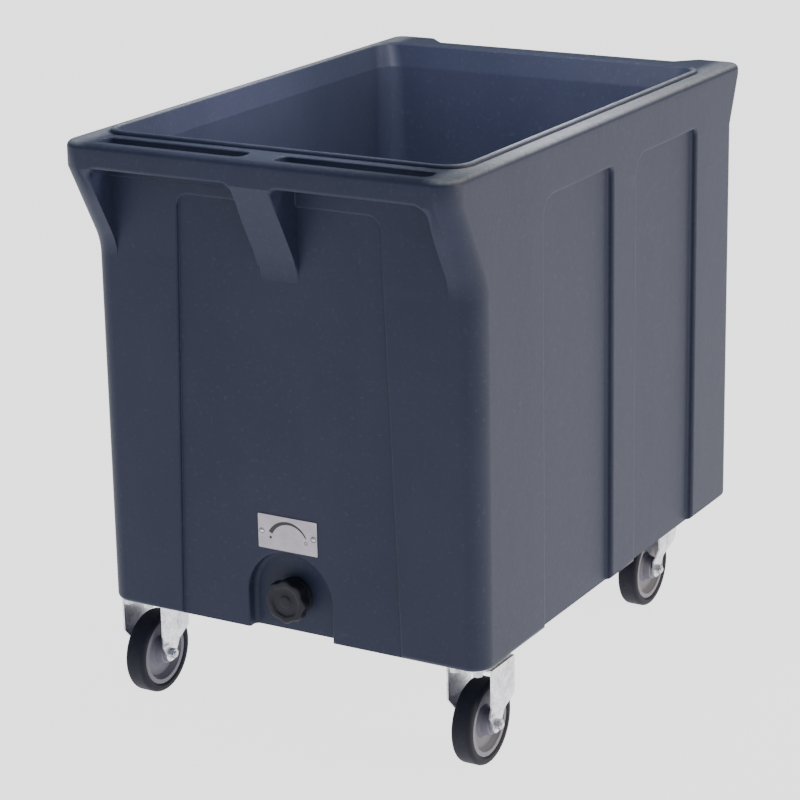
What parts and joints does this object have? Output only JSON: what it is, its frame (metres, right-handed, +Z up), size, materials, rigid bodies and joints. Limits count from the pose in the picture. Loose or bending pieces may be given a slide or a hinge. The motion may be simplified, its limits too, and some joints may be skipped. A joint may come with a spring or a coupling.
{
  "type": "wheeled insulated tote",
  "caption": "Open-top double-walled insulated tote on castors, with a grab ledge, pressed side panels and a front drain valve.",
  "frame": {"origin": "on the floor, under the middle of the overall box", "axes": "+Z up, +Y from the drain end to the rear, +X to the right-hand side seen from the drain end"},
  "size_m": [0.628, 0.946, 0.872],
  "materials": {
    "tub_plastic": "satin moulded polyethylene, slate blue-grey",
    "foam": "rigid foam, inside the double wall",
    "insert_brass": "turned",
    "fastener_steel": "zinc plated",
    "castor_zinc": "bright zinc-plated pressed sheet",
    "valve_plastic": "moulded",
    "seal_rubber": "moulded",
    "knob_plastic": "moulded, black",
    "label_metal": "brushed and printed",
    "wheel_plastic": "moulded, mid grey",
    "tyre_rubber": "moulded, charcoal, non-marking"
  },
  "bodies": {
    "root": {"back_left_plate": "castor_zinc", "back_right_plate": "castor_zinc", "castor_bolts": "fastener_steel", "castor_inserts": "insert_brass", "castor_washers": "fastener_steel", "corner_ears": "tub_plastic", "drain_locknut": "valve_plastic", "drain_spout": "valve_plastic", "drain_strainer": "valve_plastic", "foam_core": "foam", "front_left_axle_bolt": "fastener_steel", "front_left_axle_nut": "fastener_steel", "front_left_axle_sleeve": "fastener_steel", "front_left_fork": "castor_zinc", "front_left_plate": "castor_zinc", "front_right_axle_bolt": "fastener_steel", "front_right_axle_nut": "fastener_steel", "front_right_axle_sleeve": "fastener_steel", "front_right_fork": "castor_zinc", "front_right_plate": "castor_zinc", "grab_ledge": "tub_plastic", "inner_gasket": "seal_rubber", "label_plate": "label_metal", "label_screws": "fastener_steel", "outer_gasket": "seal_rubber", "spout_nut": "valve_plastic", "tub_shell": "tub_plastic", "valve_body": "valve_plastic", "valve_seal": "seal_rubber"},
    "back_left_swivel": {"back_left_axle_bolt": "fastener_steel", "back_left_axle_nut": "fastener_steel", "back_left_axle_sleeve": "fastener_steel", "back_left_ball_ring": "fastener_steel", "back_left_fork": "castor_zinc", "back_left_kingpin": "fastener_steel"},
    "back_left_wheel": {"back_left_bearing": "fastener_steel", "back_left_tyre": "tyre_rubber", "back_left_wheel_centre": "wheel_plastic"},
    "back_right_swivel": {"back_right_axle_bolt": "fastener_steel", "back_right_axle_nut": "fastener_steel", "back_right_axle_sleeve": "fastener_steel", "back_right_ball_ring": "fastener_steel", "back_right_fork": "castor_zinc", "back_right_kingpin": "fastener_steel"},
    "back_right_wheel": {"back_right_bearing": "fastener_steel", "back_right_tyre": "tyre_rubber", "back_right_wheel_centre": "wheel_plastic"},
    "knob": {"drain_knob": "knob_plastic", "knob_screw": "fastener_steel", "valve_plug": "valve_plastic"},
    "front_left_wheel": {"front_left_bearing": "fastener_steel", "front_left_tyre": "tyre_rubber", "front_left_wheel_centre": "wheel_plastic"},
    "front_right_wheel": {"front_right_bearing": "fastener_steel", "front_right_tyre": "tyre_rubber", "front_right_wheel_centre": "wheel_plastic"}
  },
  "joints": [
    {"name": "knob_turn", "type": "hinge", "parent": "root", "child": "knob", "pos_m": [0, -0.383, 0.215], "axis": [0, 1, 0], "range_deg": [-150, 0]},
    {"name": "front_left_wheel_roll", "type": "hinge", "parent": "root", "child": "front_left_wheel", "pos_m": [-0.277, -0.344, 0.0625], "axis": [1, 0, 0], "continuous": true},
    {"name": "front_right_wheel_roll", "type": "hinge", "parent": "root", "child": "front_right_wheel", "pos_m": [0.277, -0.344, 0.0625], "axis": [1, 0, 0], "continuous": true},
    {"name": "back_left_swivel_turn", "type": "hinge", "parent": "root", "child": "back_left_swivel", "pos_m": [-0.225, 0.345, 0.147], "axis": [0, 0, 1], "continuous": true},
    {"name": "back_left_wheel_roll", "type": "hinge", "parent": "back_left_swivel", "child": "back_left_wheel", "pos_m": [-0.225, 0.307, 0.0625], "axis": [1, 0, 0], "continuous": true},
    {"name": "back_right_swivel_turn", "type": "hinge", "parent": "root", "child": "back_right_swivel", "pos_m": [0.225, 0.345, 0.147], "axis": [0, 0, 1], "continuous": true},
    {"name": "back_right_wheel_roll", "type": "hinge", "parent": "back_right_swivel", "child": "back_right_wheel", "pos_m": [0.225, 0.307, 0.0625], "axis": [1, 0, 0], "continuous": true}
  ]
}
